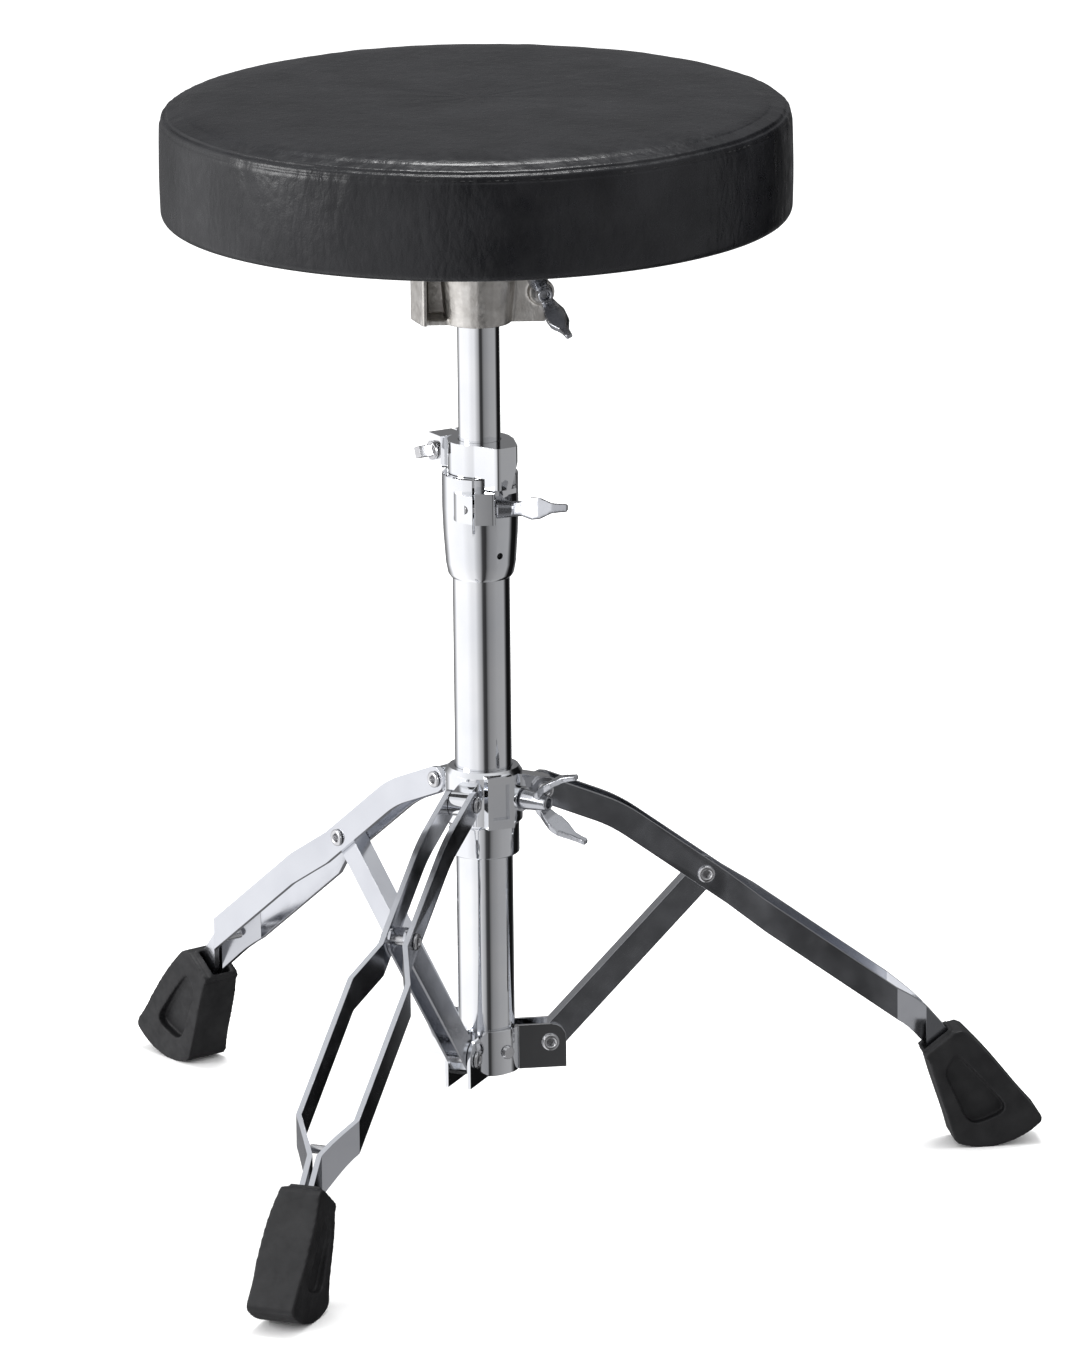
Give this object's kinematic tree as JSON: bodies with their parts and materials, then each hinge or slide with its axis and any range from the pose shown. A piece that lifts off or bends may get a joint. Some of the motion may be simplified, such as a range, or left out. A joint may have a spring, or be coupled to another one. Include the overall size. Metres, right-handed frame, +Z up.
{
  "type": "drum throne",
  "caption": "Round padded drum seat on a height-adjustable chrome post, with a memory lock and a folding double-braced tripod on rubber feet.",
  "frame": {"origin": "on the floor under the centre of the whole object's box; the post axis stands at x = 0, y = 0.0664 m, because the front leg reaches further than the other two do backwards", "axes": "+Z up along the post; the front leg points to -Y, and the other two legs point to +X +Y and -X +Y, 30 degrees off the X axis"},
  "size_m": [0.5282, 0.462, 0.578],
  "materials": {
    "vinyl": "satin",
    "foam": "matte",
    "board": "matte",
    "bottom_cloth": "matte",
    "cast_metal": "satin",
    "chrome": "polished",
    "steel": "satin",
    "nylon": "satin",
    "rubber": "matte"
  },
  "bodies": {
    "base": {"base_tube": "chrome", "base_tube_plug": "nylon", "tube_joint": "chrome", "joint_bushing": "nylon", "height_clamp_bolt": "steel", "lower_bracket_1": "chrome", "lower_bracket_2": "chrome", "lower_bracket_3": "chrome", "lower_bracket_screw_1": "steel", "lower_bracket_screw_2": "steel", "lower_bracket_screw_3": "steel", "lower_pivot_front": "steel", "lower_pivot_right": "steel", "lower_pivot_left": "steel"},
    "height_wing_nut": {"height_wing_nut": "chrome"},
    "post": {"seat_post": "chrome"},
    "memory_lock": {"memory_lock": "chrome"},
    "key_bolt": {"memory_lock_key_bolt": "steel"},
    "seat": {"seat_cover": "vinyl", "seat_foam": "foam", "seat_board": "board", "seat_bottom_cloth": "bottom_cloth", "seat_bracket": "cast_metal", "bracket_screw_1": "steel", "bracket_screw_2": "steel", "bracket_screw_3": "steel", "bracket_screw_4": "steel"},
    "seat_wing_bolt": {"seat_wing_bolt": "chrome"},
    "collar": {"leg_collar": "chrome", "collar_sleeve": "chrome", "leg_pivot_front": "steel", "leg_pivot_right": "steel", "leg_pivot_left": "steel"},
    "collar_wing_bolt": {"collar_wing_bolt": "chrome"},
    "leg_front": {"leg_strip_front_a": "chrome", "leg_strip_front_b": "chrome", "stay_pivot_front": "steel", "leg_spacer_front": "steel", "rubber_foot_front": "rubber"},
    "stay_front": {"stay_front": "chrome"},
    "leg_right": {"leg_strip_right_a": "chrome", "leg_strip_right_b": "chrome", "stay_pivot_right": "steel", "leg_spacer_right": "steel", "rubber_foot_right": "rubber"},
    "stay_right": {"stay_right": "chrome"},
    "leg_left": {"leg_strip_left_a": "chrome", "leg_strip_left_b": "chrome", "stay_pivot_left": "steel", "leg_spacer_left": "steel", "rubber_foot_left": "rubber"},
    "stay_left": {"stay_left": "chrome"}
  },
  "joints": [
    {"name": "height_slide", "type": "slide", "parent": "base", "child": "post", "axis": [0, 0, 1], "range_m": [-0.06, 0.1]},
    {"name": "seat_swivel", "type": "hinge", "parent": "post", "child": "seat", "pos_m": [0, 0.0664, 0.5], "axis": [0, 0, 1], "continuous": true},
    {"name": "seat_wing_bolt_turn", "type": "hinge", "parent": "seat", "child": "seat_wing_bolt", "pos_m": [0.03256, 0.07524, 0.477], "axis": [0.5592, -0.829, 0], "continuous": true},
    {"name": "memory_lock_slide", "type": "slide", "parent": "base", "child": "memory_lock", "axis": [0, 0, 1], "range_m": [0, 0.05]},
    {"name": "key_bolt_turn", "type": "hinge", "parent": "memory_lock", "child": "key_bolt", "pos_m": [-0.0263, 0.06766, 0.39], "axis": [-0.6157, -0.788, 0], "continuous": true},
    {"name": "height_wing_nut_turn", "type": "hinge", "parent": "base", "child": "height_wing_nut", "pos_m": [0.01575, 0.04904, 0.366], "axis": [0.9272, 0.3746, 0], "continuous": true},
    {"name": "collar_slide", "type": "slide", "parent": "base", "child": "collar", "axis": [0, 0, 1], "range_m": [0, 0.066]},
    {"name": "collar_wing_bolt_turn", "type": "hinge", "parent": "collar", "child": "collar_wing_bolt", "pos_m": [0.02569, 0.05952, 0.2075], "axis": [0.9659, -0.2588, 0], "continuous": true},
    {"name": "leg_front_fold", "type": "hinge", "parent": "collar", "child": "leg_front", "pos_m": [0, 0.0349, 0.2089], "axis": [1, 0, 0], "range_deg": [0, 32.2]},
    {"name": "leg_right_fold", "type": "hinge", "parent": "collar", "child": "leg_right", "pos_m": [0.02728, 0.08215, 0.2089], "axis": [-0.5, 0.866, 0], "range_deg": [0, 32.2]},
    {"name": "leg_left_fold", "type": "hinge", "parent": "collar", "child": "leg_left", "pos_m": [-0.02728, 0.08215, 0.2089], "axis": [-0.5, -0.866, 0], "range_deg": [0, 32.2]},
    {"name": "stay_front_fold", "type": "hinge", "parent": "base", "child": "stay_front", "pos_m": [0, 0.0334, 0.07], "axis": [-1, 0, 0], "range_deg": [0, 22.1]},
    {"name": "stay_right_fold", "type": "hinge", "parent": "base", "child": "stay_right", "pos_m": [0.02858, 0.0829, 0.07], "axis": [0.5, -0.866, 0], "range_deg": [0, 22.1]},
    {"name": "stay_left_fold", "type": "hinge", "parent": "base", "child": "stay_left", "pos_m": [-0.02858, 0.0829, 0.07], "axis": [0.5, 0.866, 0], "range_deg": [0, 22.1]}
  ],
  "couplings": [
    {"joint": "leg_front_fold", "follows": "collar_slide", "rad_per_m": 8.486},
    {"joint": "leg_right_fold", "follows": "collar_slide", "rad_per_m": 8.486},
    {"joint": "leg_left_fold", "follows": "collar_slide", "rad_per_m": 8.486},
    {"joint": "stay_front_fold", "follows": "collar_slide", "rad_per_m": 5.82},
    {"joint": "stay_right_fold", "follows": "collar_slide", "rad_per_m": 5.82},
    {"joint": "stay_left_fold", "follows": "collar_slide", "rad_per_m": 5.82}
  ]
}
